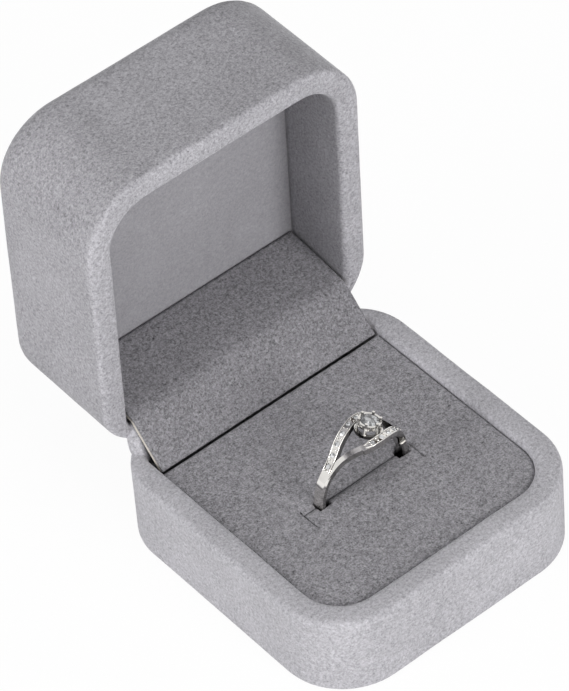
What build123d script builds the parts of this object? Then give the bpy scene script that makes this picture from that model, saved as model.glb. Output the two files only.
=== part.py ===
"""Velvet-covered ring box, lid open, with its slotted ring pad, spring hinge and a ring.

Millimetres. +Z up, -Y towards the front edge, the box rests on z = 0 and is centred on x = 0, y = 0.
The lid is drawn closed and then swung open about the hinge axis, which is the rest pose.
"""
from build123d import *
from math import atan2, cos, hypot, radians, sin, tan
import os

# ---- outside of the box ---------------------------------------------------------------------
box_width = 56.0
box_depth = 58.0
base_height = 16.0
lid_height = 25.4
rim_gap = 0.3               # between the two rims when the lid is shut
front_corner_radius = 12.2
rear_corner_radius = 11.0
inner_rear_radius = 2.0     # the opening is nearly square at the back, where the flap runs
base_foot_bevel = 0.6
lid_top_fillet = 3.6
rim_roll_radius = 1.25

# ---- walls ----------------------------------------------------------------------------------
velvet = 0.8                # outer covering, with its padding
shell_wall = 3.0
base_floor = 1.6
lid_roof = 1.8
base_skirt_depth = 8.0      # how far the velvet turns down inside the base
sole_border = 4.0           # velvet turned under the foot, around the sole
sole_thickness = 0.8
fit_gap = 0.1               # between a lining piece and the wall around it

# ---- ring pad -------------------------------------------------------------------------------
pad_recess = 0.9            # pad surface below the base rim
pad_cover = 0.7
pad_board = 1.5
pad_edge_roll = 0.65
pad_rear_inset = 9.65       # rear edge of the pad, in from the back of the box, in front of the flap
pad_rear_bevel = 0.7
foam_setback = 1.0
ring_slot_width = 2.7
slit_width = 0.6
slit_left_margin = 2.85     # slit ends, out from the sides of the ring
slit_right_margin = 1.15
slit_front_cut = 3.4        # short cuts at the two ends of the slit
slit_rear_cut = 1.2

# ---- lid lining -----------------------------------------------------------------------------
lid_inside_depth = 14.0     # rim to ceiling
ceiling_cover = 0.6
ceiling_foam = 1.2
ceiling_board = 1.5
spacer_wall = 1.5

# ---- hinge ----------------------------------------------------------------------------------
hinge_inset = 1.55          # axis in from the back of the box
hinge_rise = 0.5            # axis above the base rim
lid_open_angle = 88.4
stop_bevel = 1.6            # the two rear rims meet on these bevels when the lid is open
barrel_radius = 1.15
pin_radius = 0.6
pin_clearance = 0.05
barrel_relief = 0.2
hinge_length = 26.0
knuckle_count = 5
knuckle_gap = 0.15
leaf_thickness = 0.6
leaf_height = 10.0
leaf_clearance = 0.06
pin_head_radius = 0.95
pin_head_length = 0.5
rivet_radius = 0.8
rivet_head_radius = 1.5
rivet_head = 0.45
rivet_spacing = 16.0
rivet_drop = 6.5            # hinge axis to rivet axis
spring_strip = 0.25
spring_width = 4.4
spring_length = 6.0
spring_bow = 0.45
web_thickness = 0.5
web_end_margin = 8.0        # strip's ends, in from the sides of the box
web_reach = 3.0

# ---- hinge flap -----------------------------------------------------------------------------
flap_side_gap = 0.5         # each side, to the opening's wall
flap_cover = 0.5
flap_board = 0.7
flap_root_inset = 9.0       # on the ceiling, in from the back, lid shut
crease_inset = 2.2          # crease and lower edge, in from the back, lid open
crease_rise = 6.3           # and above the base rim
flap_tip_inset = 9.25
flap_tip_drop = 0.85        # lower edge below the base rim
crease_gap = 0.05
flap_tab = 2.5              # glued to the ceiling
flap_end_gap = 0.3

# ---- ring -----------------------------------------------------------------------------------
ring_y = -3.5
ring_outer_radius = 9.45
band_thickness = 1.25
band_width = 2.2
band_edge = 0.3
ring_lean = 12.5            # the stone leans this much to the right
slot_floor_gap = 0.05
split_angle = 60.0          # where each shoulder divides, from the head
arm_thickness = 1.3
arm_break = 0.2
pave_arm_width = 1.5
plain_arm_width = 0.95
arm_spread = 3.0            # bypass arms, either side of the head
gallery_radius = 2.35
gallery_wall = 0.55
gallery_height = 0.6
gallery_level = 10.1        # from the ring's centre to the top of the gallery
bezel_radius = 2.0
bezel_wall = 0.36
bezel_height = 0.8
bezel_level = 11.75
strut_radius = 0.26
strut_count = 6
prong_radius = 0.24
prong_height = 0.45
stone_facets = 16
stone_table = 0.92
stone_crown = 0.42
stone_depth = 1.32          # girdle to culet
stone_culet = 0.12
seat_drop = 0.05            # girdle below the bezel's rim
pave_radius = 0.46
pave_count = 7
pave_height = 0.5
seat_clearance = 0.03

# ---- derived --------------------------------------------------------------------------------
rim_width = shell_wall + 2 * velvet
rear = box_depth / 2
pad_rear = rear - pad_rear_inset
slit_left = ring_outer_radius + slit_left_margin
slit_right = ring_outer_radius + slit_right_margin
hinge_y = rear - hinge_inset
hinge_z = base_height + hinge_rise
web_width = box_width - 2 * web_end_margin
flap_width = box_width - 2 * (rim_width + flap_side_gap)
flap_root_y = rear - flap_root_inset
crease_y = rear - crease_inset
crease_z = base_height + crease_rise
flap_tip_y = rear - flap_tip_inset
flap_tip_z = base_height - flap_tip_drop
pad_top = base_height - pad_recess
lid_rim = base_height + rim_gap
lid_top = lid_rim + lid_height
ceiling_level = lid_rim + lid_inside_depth
hinge_axis = Axis((0, hinge_y, hinge_z), (1, 0, 0))
ring_inner_radius = ring_outer_radius - band_thickness
slot_floor = base_height - 10.2
ring_z = slot_floor + slot_floor_gap + ring_outer_radius


# ---- shared shapes --------------------------------------------------------------------------
def outline(inset, rear_radius):
    """Plan of the box, drawn in from the outside by inset."""
    plan = Rectangle(box_width - 2 * inset, box_depth - 2 * inset)
    front = plan.vertices().filter_by_position(Axis.Y, -box_depth, 0)
    plan = fillet(front, front_corner_radius - inset)
    back = plan.vertices().filter_by_position(Axis.Y, rear - inset - 0.01, box_depth)
    return fillet(back, rear_radius)


def slab(inset, low, high):
    """Upright block on the outer plan, from one level to another."""
    return extrude(Pos(0, 0, low) * outline(inset, rear_corner_radius - inset), high - low)


def well(inset, low, high):
    """Upright block on the plan of the opening, which has tighter rear corners."""
    rear_radius = inner_rear_radius + rim_width - inset
    return extrude(Pos(0, 0, low) * outline(inset, max(rear_radius, 0.5)), high - low)


def level_edges(solid, level):
    """Edges of a solid that lie wholly at one level."""
    return solid.edges().filter_by_position(Axis.Z, level - 0.001, level + 0.001)


def prism_x(points, length, centre=0.0):
    """Extrude a section drawn in Y and Z along X, centred."""
    section = Plane.YZ * make_face(Polyline(*points, close=True))
    return Pos(centre - length / 2, 0, 0) * extrude(section, length, dir=(1, 0, 0))


def rod_x(radius, length, centre=0.0, y=hinge_y, z=hinge_z):
    return Pos(centre, y, z) * Rot(0, 90, 0) * Cylinder(radius, length)


def cuboid(x0, x1, y0, y1, z0, z1):
    return Pos((x0 + x1) / 2, (y0 + y1) / 2, (z0 + z1) / 2) * Box(x1 - x0, y1 - y0, z1 - z0)


def opened(solid):
    """Swing a piece of the lid from shut to the open rest pose."""
    return solid.rotate(hinge_axis, -lid_open_angle)


def stop_cut(rim, side, inset):
    """Wedge taken off a rear rim edge; side is +1 above the rim and -1 below it."""
    size = stop_bevel + 6
    shift = inset * 2 ** 0.5
    corner = (rear - stop_bevel - shift, rim)
    return prism_x([(corner[0] - 3, corner[1] - side * 3), (corner[0] + size, corner[1] + side * size),
                    (corner[0] + size, corner[1] - side * 3)], box_width)


def barrel_room():
    return rod_x(barrel_radius + barrel_relief, hinge_length + 2 * pin_head_length + 0.4)


def leaf_slot(side):
    """Slot in a rear wall for one hinge leaf."""
    y1 = hinge_y - barrel_radius + leaf_thickness + leaf_clearance
    y0 = hinge_y - barrel_radius - leaf_clearance
    reach = hinge_z + side * (leaf_height + leaf_clearance)
    half = hinge_length / 2 + leaf_clearance
    return cuboid(-half, half, y0, y1, min(hinge_z, reach), max(hinge_z, reach))


def rivet_room(side):
    """Holes through the rear wall for the rivets, with their sunk heads."""
    level = hinge_z + side * rivet_drop
    inner = rear - velvet - shell_wall
    outer = rear - velvet
    room = Part()
    for x in (-rivet_spacing / 2, rivet_spacing / 2):
        turn = Pos(x, (inner + outer) / 2, level) * Rot(90, 0, 0)
        room += turn * Cylinder(rivet_radius + pin_clearance, shell_wall + 1)
        for y in (inner, outer):
            room += Pos(x, y, level) * Rot(90, 0, 0) * Cylinder(rivet_head_radius + pin_clearance,
                                                               2 * rivet_head)
    return room


# ---- base -----------------------------------------------------------------------------------
def base_form():
    """Outside of the covered base, rim rolled over."""
    form = slab(0, 0, base_height)
    form -= well(rim_width, pad_top - base_skirt_depth, base_height + 1)
    form = fillet(level_edges(form, base_height), rim_roll_radius)
    form = chamfer(level_edges(form, 0), base_foot_bevel)
    return form - stop_cut(base_height, -1, 0)


def base_shell():
    shell = slab(velvet, sole_thickness, base_height - velvet)
    shell -= well(velvet + shell_wall, sole_thickness + base_floor, base_height)
    shell -= stop_cut(base_height, -1, velvet)
    shell -= barrel_room()
    shell -= leaf_slot(-1)
    shell -= rivet_room(-1)
    return shell - spring_room()


def base_velvet():
    inner_top = base_height - velvet
    core = slab(velvet, sole_thickness, inner_top) - stop_cut(base_height, -1, velvet)
    skirt_low = pad_top - base_skirt_depth
    skirt = well(velvet + shell_wall, skirt_low, inner_top) - well(rim_width, skirt_low, inner_top)
    cover = base_form() - core
    cover -= slab(sole_border, -1, sole_thickness + 1)
    cover += skirt
    return cover - barrel_room() - leaf_slot(-1) - spring_room()


def base_sole():
    sole = slab(sole_border + fit_gap, 0, sole_thickness)
    return chamfer(level_edges(sole, 0), base_foot_bevel / 3)


# ---- ring pad -------------------------------------------------------------------------------
def pad_plan(inset, low, high, rear_edge):
    """Block on the pad's plan, cut off at its straight rear edge."""
    block = well(rim_width + inset, low, high)
    return block - cuboid(-box_width, box_width, rear_edge, box_depth, low - 1, high + 1)


def slot_block(width, low, high):
    return cuboid(-slit_left, slit_right, ring_y - width / 2, ring_y + width / 2, low, high)


def pad_velvet():
    low = pad_top - pad_cover - pad_board
    cover = pad_plan(fit_gap, low, pad_top, pad_rear)
    cover = fillet(level_edges(cover, pad_top), pad_edge_roll)
    cover -= pad_plan(fit_gap + pad_cover, low - 1, pad_top - pad_cover, pad_rear - pad_cover)
    bevel_low = low - 0.01
    cover -= prism_x([(pad_rear + 1, bevel_low), (pad_rear + 1, pad_top - pad_cover),
                      (pad_rear, pad_top - pad_cover), (pad_rear - pad_rear_bevel / 2, bevel_low)], box_width)
    cover -= slot_block(slit_width, low, pad_top + 1)
    for x in (-slit_left, slit_right):
        cover -= cuboid(x - slit_width / 2, x + slit_width / 2, ring_y - slit_front_cut,
                        ring_y + slit_rear_cut, low, pad_top + 1)
    for side in (-1, 1):
        inner = side * (ring_inner_radius - 0.95)
        outer = side * (ring_outer_radius + 0.3)
        cover -= cuboid(min(inner, outer), max(inner, outer), ring_y - ring_slot_width / 2,
                        ring_y + ring_slot_width / 2, low, pad_top + 1)
    return cover


def pad_board_piece():
    low = pad_top - pad_cover - pad_board
    board = pad_plan(fit_gap + pad_cover, low, pad_top - pad_cover, pad_rear - pad_cover)
    return board - slot_block(ring_slot_width, low - 1, pad_top)


def foam_block():
    low = sole_thickness + base_floor
    high = pad_top - pad_cover - pad_board
    foam = pad_plan(fit_gap, low, high, pad_rear - foam_setback)
    return foam - slot_block(ring_slot_width, slot_floor, high + 1)


# ---- lid, drawn shut ------------------------------------------------------------------------
def lid_form():
    form = slab(0, lid_rim, lid_top)
    form -= well(rim_width, lid_rim - 1, ceiling_level)
    form = fillet(level_edges(form, lid_rim), rim_roll_radius)
    form = fillet(level_edges(form, lid_top), lid_top_fillet)
    return form - stop_cut(lid_rim, 1, 0)


def lid_shell():
    shell = slab(velvet, lid_rim + velvet, lid_top - velvet)
    shell = chamfer(level_edges(shell, lid_top - velvet), lid_top_fillet - 2 * velvet)
    shell -= well(velvet + shell_wall, lid_rim, lid_top - velvet - lid_roof)
    shell -= stop_cut(lid_rim, 1, velvet)
    shell -= barrel_room()
    shell -= leaf_slot(1)
    return shell - rivet_room(1)


def lid_velvet():
    inner_low = lid_rim + velvet
    core = slab(velvet, inner_low, lid_top - velvet)
    core = chamfer(level_edges(core, lid_top - velvet), lid_top_fillet - 2 * velvet)
    core -= stop_cut(lid_rim, 1, velvet)
    skirt = well(velvet + shell_wall, inner_low, ceiling_level) - well(rim_width, inner_low, ceiling_level)
    cover = lid_form() - core
    cover += skirt
    return cover - barrel_room() - leaf_slot(1)


def ceiling_layer(start, thickness):
    low = ceiling_level + start
    return well(velvet + shell_wall + fit_gap, low, low + thickness)


def ceiling_spacer():
    low = ceiling_level + ceiling_cover + ceiling_foam + ceiling_board
    high = lid_top - velvet - lid_roof
    outer = velvet + shell_wall + fit_gap
    return well(outer, low, high) - well(outer + spacer_wall, low, high)


# ---- hinge ----------------------------------------------------------------------------------
def knuckles(first):
    """Every other knuckle along the barrel, with its own bore."""
    pitch = hinge_length / knuckle_count
    barrel = Part()
    for index in range(first, knuckle_count, 2):
        centre = -hinge_length / 2 + pitch * (index + 0.5)
        barrel += rod_x(barrel_radius, pitch - knuckle_gap, centre)
    return barrel


def hinge_leaf(side):
    """Stamped leaf with rolled knuckles: side -1 is fixed in the base, +1 in the lid."""
    first = 0 if side < 0 else 1
    pitch = hinge_length / knuckle_count
    y0 = hinge_y - barrel_radius
    y1 = y0 + leaf_thickness
    start = hinge_z + side * (barrel_radius + barrel_relief)
    end = hinge_z + side * leaf_height
    leaf = cuboid(-hinge_length / 2, hinge_length / 2, y0, y1, min(start, end), max(start, end))
    for index in range(first, knuckle_count, 2):
        centre = -hinge_length / 2 + pitch * (index + 0.5)
        half = (pitch - knuckle_gap) / 2
        leaf += cuboid(centre - half, centre + half, y0, y1, min(hinge_z, start), max(hinge_z, start))
    leaf += knuckles(first)
    leaf -= rod_x(pin_radius + pin_clearance, hinge_length + 1)
    level = hinge_z + side * rivet_drop
    for x in (-rivet_spacing / 2, rivet_spacing / 2):
        leaf -= Pos(x, y0, level) * Rot(90, 0, 0) * Cylinder(rivet_radius + pin_clearance, 3 * leaf_thickness)
    return leaf


def hinge_pin():
    pin = rod_x(pin_radius, hinge_length)
    for side in (-1, 1):
        pin += rod_x(pin_head_radius, pin_head_length, side * (hinge_length + pin_head_length) / 2)
    return pin


def rivets(side):
    """Two rivets through the rear wall and one leaf, heads flush with the shell."""
    level = hinge_z + side * rivet_drop
    inner = rear - velvet - shell_wall
    outer = rear - velvet
    made = []
    for x in (-rivet_spacing / 2, rivet_spacing / 2):
        turn = Pos(x, (inner + outer) / 2, level) * Rot(90, 0, 0)
        rivet = turn * Cylinder(rivet_radius, shell_wall)
        for y in (inner + rivet_head / 2, outer - rivet_head / 2):
            rivet += Pos(x, y, level) * Rot(90, 0, 0) * Cylinder(rivet_head_radius, rivet_head)
        made.append(rivet)
    return Compound(children=made)


def spring_room():
    """Pocket under the middle knuckle for the snap spring."""
    y0 = hinge_y - barrel_radius + leaf_thickness + leaf_clearance
    y1 = y0 + 2 * spring_strip + 2 * spring_bow
    z1 = hinge_z - barrel_radius - barrel_relief
    half = spring_width / 2 + leaf_clearance
    return cuboid(-half, half, y0, y1, z1 - spring_length - leaf_clearance, z1 + 1)


def snap_spring():
    """Folded strip spring that stands in the base wall and bears up against the lid's knuckles."""
    y0 = hinge_y - barrel_radius + leaf_thickness + 2 * leaf_clearance
    y1 = y0 + 2 * spring_strip + 2 * spring_bow - 2 * leaf_clearance
    z1 = hinge_z - barrel_radius - 0.05
    z0 = hinge_z - barrel_radius - barrel_relief - spring_length
    strip = spring_strip
    bend = (y1 - y0) / 2
    spring = cuboid(-spring_width / 2, spring_width / 2, y0, y1, z0, z1)
    mid = (y0 + y1) / 2
    spring = fillet(spring.edges().filter_by(Axis.X).group_by(Axis.Z)[0], bend * 0.98)
    hollow = cuboid(-spring_width, spring_width, y0 + strip, y1 - strip, z0 + strip, z1 - strip)
    hollow = fillet(hollow.edges().filter_by(Axis.X).group_by(Axis.Z)[0], (bend - strip) * 0.95)
    spring -= hollow
    return spring - cuboid(-spring_width, spring_width, mid, y1 - strip, z1 - 2 * strip, z1 + 1)


def hinge_web():
    """Velvet strip glued across the joint at the back, folded into the corner while the lid is open."""
    face = rear + fit_gap / 2
    under = hinge_z - hinge_inset - fit_gap / 2 - 0.05
    bend = 2 * web_thickness
    corner = (face, under)
    outer = [(face, under - web_reach), (face + web_thickness, under - web_reach),
             (face + web_thickness, under - bend), (face + bend, under - web_thickness),
             (face + web_reach, under - web_thickness), (face + web_reach, under), corner]
    return prism_x(outer, web_width)


# ---- hinge flap, drawn open -----------------------------------------------------------------
def flap_root():
    """Where the flap meets the ceiling with the lid open."""
    swing = radians(lid_open_angle)
    dy = flap_root_y - hinge_y
    dz = ceiling_level - hinge_z
    return (hinge_y + dy * cos(swing) + dz * sin(swing), hinge_z - dy * sin(swing) + dz * cos(swing))


def panel_section(near, far, bisector, start, stop, sign):
    """Four corners of one layer of a flap panel, mitred at the crease (near)."""
    length = hypot(far[0] - near[0], far[1] - near[1])
    along = ((far[0] - near[0]) / length, (far[1] - near[1]) / length)
    below = (along[1] * sign, -along[0] * sign)
    slope = bisector[0] * below[0] + bisector[1] * below[1]
    corners = []
    for depth in (start, stop):
        reach = depth / slope
        corners.append((near[0] + bisector[0] * reach + along[0] * crease_gap,
                        near[1] + bisector[1] * reach + along[1] * crease_gap))
    for depth in (stop, start):
        corners.append((far[0] + below[0] * depth, far[1] + below[1] * depth))
    return corners


def crease_bisector():
    root = flap_root()
    up = atan2(root[1] - crease_z, root[0] - crease_y)
    down = atan2(flap_tip_z - crease_z, flap_tip_y - crease_y)
    y = cos(up) + cos(down)
    z = sin(up) + sin(down)
    return (y / hypot(y, z), z / hypot(y, z))


def flap_layer(upper, start, stop):
    crease = (crease_y, crease_z)
    if upper:
        root = flap_root()
        far = (root[0] - flap_end_gap, root[1])
        return prism_x(panel_section(crease, far, crease_bisector(), start, stop, 1), flap_width)
    tip = (flap_tip_y, flap_tip_z)
    return prism_x(panel_section(crease, tip, crease_bisector(), start, stop, -1), flap_width)


def flap_upper_board():
    """Upper panel with the tab that is glued to the lid's ceiling."""
    root = flap_root()
    board = flap_layer(True, flap_cover, flap_cover + flap_board)
    swing = radians(90 - lid_open_angle)
    top = root[1] - flap_cover - flap_board / 2
    low = top - flap_board - flap_tab
    lean = tan(swing)
    face_top = root[0] - fit_gap
    face_low = face_top + (top - low) * lean
    tab = prism_x([(face_top - flap_board, top), (face_top, top), (face_low, low), (face_low - flap_board, low)],
                  flap_width)
    return board + tab


# ---- ring -----------------------------------------------------------------------------------
def ring_place(solid):
    """From the ring's own frame (head up, axis along Y) to its place in the pad."""
    return Pos(0, ring_y, ring_z) * Rot(0, ring_lean, 0) * solid


def at_angle(angle, radius, side):
    """Point on the ring at an angle from the head."""
    return Vector(radius * sin(radians(angle)), side, radius * cos(radians(angle)))


def arm_section(width):
    """Flat outer face with both of its edges broken."""
    section = Rectangle(width, arm_thickness)
    return chamfer(section.vertices().group_by(Axis.Y)[-1], arm_break)


def arm(stations, width, turn):
    """Bypass arm lofted through its sections; each station is angle, side, outer radius, width share."""
    points = [at_angle(a * turn, r - arm_thickness / 2, s * turn) for a, s, r, _ in stations]
    faces = []
    for index, (angle, side, radius, share) in enumerate(stations):
        before = points[max(index - 1, 0)]
        after = points[min(index + 1, len(points) - 1)]
        tangent = (after - before).normalized()
        out = at_angle(angle * turn, 1, 0)
        lateral = tangent.cross(out).normalized()
        plane = Plane(origin=points[index], x_dir=lateral, z_dir=tangent)
        faces.append(plane * arm_section(width * share))
    return loft(Sketch() + faces)


pave_stations = [(split_angle + 6, 0.1, 9.42, 0.98), (split_angle - 12, -0.35, 9.62, 1.0),
                 (34, -1.15, 9.95, 1.0), (18, -2.15, 10.2, 1.0), (2, -arm_spread, 10.25, 1.0),
                 (-12, -arm_spread - 0.1, 10.1, 0.95), (-22, -arm_spread + 0.3, 9.9, 0.75)]
plain_stations = [(-split_angle - 6, -0.55, 9.4, 1.0), (-split_angle + 10, -0.9, 9.5, 1.0),
                  (-36, -1.55, 9.75, 1.0), (-24, -2.35, 9.9, 1.05), (-14, -arm_spread + 0.15, 9.9, 1.05)]


def pave_spots(turn):
    """Centres and directions of the small stones along one arm."""
    spots = []
    first = split_angle - 5
    last = -10
    for index in range(pave_count):
        angle = first + (last - first) * index / (pave_count - 1)
        for (a0, s0, r0, _), (a1, s1, r1, _) in zip(pave_stations, pave_stations[1:]):
            if a1 <= angle <= a0:
                share = (angle - a0) / (a1 - a0)
                side = s0 + (s1 - s0) * share
                radius = r0 + (r1 - r0) * share
        spots.append((angle * turn, side * turn, radius))
    return spots


def small_stone(angle, side, radius, swell, height):
    """Low faceted stone standing on the arm's outer face."""
    place = Plane(origin=at_angle(angle, radius - height * 0.55, side), z_dir=at_angle(angle, 1, 0))
    return place * extrude(RegularPolygon(pave_radius + swell, 8), height)


def ring_shank():
    """Band, the four crossing arms and the gallery that carries the head, cast as one."""
    section = Rectangle(band_thickness, band_width)
    section = Pos((ring_inner_radius + ring_outer_radius) / 2, 0) * chamfer(section.vertices(), band_edge)
    section = Plane.XZ.rotated((90, 0, 0)) * section
    section = Rot(0, split_angle - 90, 0) * section
    shank = revolve(section, Axis.Y, 360 - 2 * split_angle)
    for turn in (-1, 1):
        shank += arm(pave_stations, pave_arm_width, turn)
        shank += arm(plain_stations, plain_arm_width, turn)
    gallery = Cylinder(gallery_radius, gallery_height) - Cylinder(gallery_radius - gallery_wall, gallery_height)
    shank += Pos(0, 0, gallery_level - gallery_height / 2) * gallery
    for turn in (-1, 1):
        for angle, side, radius in pave_spots(turn):
            shank -= small_stone(angle, side, radius + 0.02, seat_clearance, pave_height)
    return shank


def ring_head():
    """Bezel on raking struts, with the prongs that hold the stone."""
    bezel = Cylinder(bezel_radius, bezel_height) - Cylinder(bezel_radius - bezel_wall, bezel_height)
    head = Pos(0, 0, bezel_level - bezel_height / 2) * bezel
    foot_radius = gallery_radius - gallery_wall / 2
    top_radius = bezel_radius - bezel_wall / 2
    low = Vector(foot_radius, 0, gallery_level - strut_radius)
    high = Vector(top_radius, 0, bezel_level - bezel_height / 2)
    rake = Plane(origin=low, z_dir=high - low)
    for index in range(strut_count):
        turn = Rot(0, 0, 360 * (index + 0.5) / strut_count)
        head += turn * (rake * extrude(Circle(strut_radius), (high - low).length))
        prong = Cylinder(prong_radius, prong_height + bezel_height / 2)
        head += turn * (Pos(top_radius, 0, bezel_level + (prong_height - bezel_height / 2) / 2) * prong)
    span = 2 * gallery_radius + 1
    head -= Pos(0, 0, gallery_level - span / 2) * Box(span, span, span)
    return head


def centre_stone():
    """Round brilliant: tapered crown over a pointed pavilion."""
    girdle = bezel_radius - bezel_wall - seat_clearance
    table = Pos(0, 0, stone_crown) * RegularPolygon(stone_table, stone_facets)
    culet = Pos(0, 0, -stone_depth) * RegularPolygon(stone_culet, stone_facets)
    stone = loft(Sketch() + [culet, RegularPolygon(girdle, stone_facets), table], ruled=True)
    return Pos(0, 0, bezel_level - seat_drop) * stone


def pave_stones():
    stones = []
    for turn in (-1, 1):
        for angle, side, radius in pave_spots(turn):
            stones.append(ring_place(small_stone(angle, side, radius + 0.02 + seat_clearance, 0, pave_height
                                                 - seat_clearance)))
    return Compound(children=stones)


# ---- all pieces -----------------------------------------------------------------------------
def pieces():
    """Every piece by the name of its node, in the open rest pose."""
    layer = ceiling_cover
    made = {
        "base_shell": base_shell(),
        "base_velvet": base_velvet(),
        "base_sole": base_sole(),
        "pad_velvet": pad_velvet(),
        "pad_board": pad_board_piece(),
        "pad_foam": foam_block(),
        "hinge_leaf_base": hinge_leaf(-1),
        "hinge_pin": hinge_pin(),
        "hinge_rivets_base": rivets(-1),
        "snap_spring": snap_spring(),
        "hinge_web": hinge_web(),
        "lid_shell": opened(lid_shell()),
        "lid_velvet": opened(lid_velvet()),
        "ceiling_velvet": opened(ceiling_layer(0, ceiling_cover)),
        "ceiling_foam": opened(ceiling_layer(layer, ceiling_foam)),
        "ceiling_board": opened(ceiling_layer(layer + ceiling_foam, ceiling_board)),
        "ceiling_spacer": opened(ceiling_spacer()),
        "hinge_leaf_lid": opened(hinge_leaf(1)),
        "hinge_rivets_lid": opened(rivets(1)),
        "flap_upper_board": flap_upper_board(),
        "flap_upper_velvet": flap_layer(True, 0, flap_cover),
        "flap_lower_board": flap_layer(False, flap_cover, flap_cover + flap_board),
        "flap_lower_velvet": flap_layer(False, 0, flap_cover),
        "ring_shank": ring_place(ring_shank()),
        "ring_head": ring_place(ring_head()),
        "centre_stone": ring_place(centre_stone()),
        "pave_stones": pave_stones(),
    }
    return made


os.makedirs("parts", exist_ok=True)
for name, solid in pieces().items():
    export_step(solid, f"parts/{name}.step")
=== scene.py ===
"""Velvet ring box with its lid open: covers, ring pad, hinge flap, hinge strip, ring and studio."""

import math

import bmesh
import bpy
from bpy.props import FloatProperty, FloatVectorProperty, IntProperty, PointerProperty
from mathutils import Matrix, Vector, noise


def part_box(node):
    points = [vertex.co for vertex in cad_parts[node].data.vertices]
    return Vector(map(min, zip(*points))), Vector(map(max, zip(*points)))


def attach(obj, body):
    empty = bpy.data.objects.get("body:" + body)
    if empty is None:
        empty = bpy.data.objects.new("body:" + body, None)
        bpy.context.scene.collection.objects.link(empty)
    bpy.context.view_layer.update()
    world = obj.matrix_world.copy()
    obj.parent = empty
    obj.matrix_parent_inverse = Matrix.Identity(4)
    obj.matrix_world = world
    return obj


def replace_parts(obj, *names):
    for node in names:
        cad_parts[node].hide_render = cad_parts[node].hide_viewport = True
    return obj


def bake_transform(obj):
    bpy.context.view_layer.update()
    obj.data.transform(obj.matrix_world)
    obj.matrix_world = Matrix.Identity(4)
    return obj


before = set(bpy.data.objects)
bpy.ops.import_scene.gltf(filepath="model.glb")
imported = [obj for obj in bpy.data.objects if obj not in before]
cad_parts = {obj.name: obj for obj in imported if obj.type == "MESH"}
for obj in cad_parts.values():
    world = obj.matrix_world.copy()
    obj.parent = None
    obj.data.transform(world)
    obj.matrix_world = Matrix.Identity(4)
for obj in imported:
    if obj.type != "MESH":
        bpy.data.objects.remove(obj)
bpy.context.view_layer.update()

bl_info = {
    "name": "Velvet ring box",
    "version": (1, 0, 0),
    "blender": (4, 5, 0),
    "location": "3D View > Sidebar > Ring Box",
    "description": "Dresses a velvet ring box with its pad, flap, ring and studio",
    "category": "Add Mesh",
}

MM = 0.001
BASE_LOW, BASE_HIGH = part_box("base_velvet")

# The lid turns about HINGE. A piece of the lid is drawn shut and swung to the open rest pose.
HINGE_INSET, HINGE_RISE = 1.55 * MM, 0.5 * MM
HINGE = Vector((0, BASE_HIGH.y - HINGE_INSET, BASE_HIGH.z + HINGE_RISE))
LID_OPEN = math.radians(88.4)
SWING_OPEN = Matrix.Translation(HINGE) @ Matrix.Rotation(-LID_OPEN, 4, "X") @ Matrix.Translation(-HINGE)
STOP_INSET = 1.6 * MM
LEAST_RADIUS = 0.6 * MM
NUDGE = 0.02 * MM
BARREL_ROOM, BARREL_LENGTH = 1.35 * MM, 27.4 * MM
LEAF_ROOM = Vector((13.06, 0.36, 5.1)) * MM

# The ring stands in the pad's slit, which has a short cut across each end and an opening for each leg.
RING_CENTRE = Vector((0, -3.5, 15.3)) * MM
RING_TILT = math.radians(12.5)
SLIT_LEFT, SLIT_RIGHT = -12.3 * MM, 10.6 * MM
SLIT_FLOOR = 5.8 * MM
END_CUT_FRONT, END_CUT_REAR = 3.4 * MM, 1.2 * MM
LEG_INNER, LEG_OUTER, LEG_HALF_WIDTH = 7.2 * MM, 9.75 * MM, 1.2 * MM
LEG_MIDDLE = 8.8 * MM

# Profile of the hinge flap from tip over crease to root, as (Y, Z).
FLAP_TIP = Vector((19.62, 15.1)) * MM
FLAP_CREASE = Vector((26.8, 22.3)) * MM
FLAP_ROOT = Vector((40.74, 24.33)) * MM

# A stone-set arm of the ring: angle from the head in degrees, offset along the axis and outer radius in mm.
ARM_STATIONS = ((66, 0.1, 9.42), (48, -0.35, 9.62), (34, -1.15, 9.95), (18, -2.15, 10.2), (2, -3.0, 10.25),
                (-12, -3.1, 10.1), (-22, -2.7, 9.9))
FIRST_STONE, LAST_STONE, STONES = 55, -10, 7

# Camera of the photograph, solved from the box's edges.
AZIMUTH, ELEVATION, ROLL = math.radians(-36.499), math.radians(45.598), math.radians(-4.983)
DISTANCE, SHIFT_RIGHT, SHIFT_DOWN = 0.78734, 0.011188, 0.030107
FOCAL_PIXELS, PHOTO_WIDTH_PIXELS, SENSOR_WIDTH_MM = 4754.735, 569, 36


def length(name, description, default, low=0.0, high=0.2):
    return FloatProperty(name=name, description=description, default=default, min=low, max=high,
                         unit="LENGTH", subtype="DISTANCE", precision=5)


def tint(name, description, default):
    return FloatVectorProperty(name=name, description=description, default=default, size=3, min=0, max=1,
                               subtype="COLOR")


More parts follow.
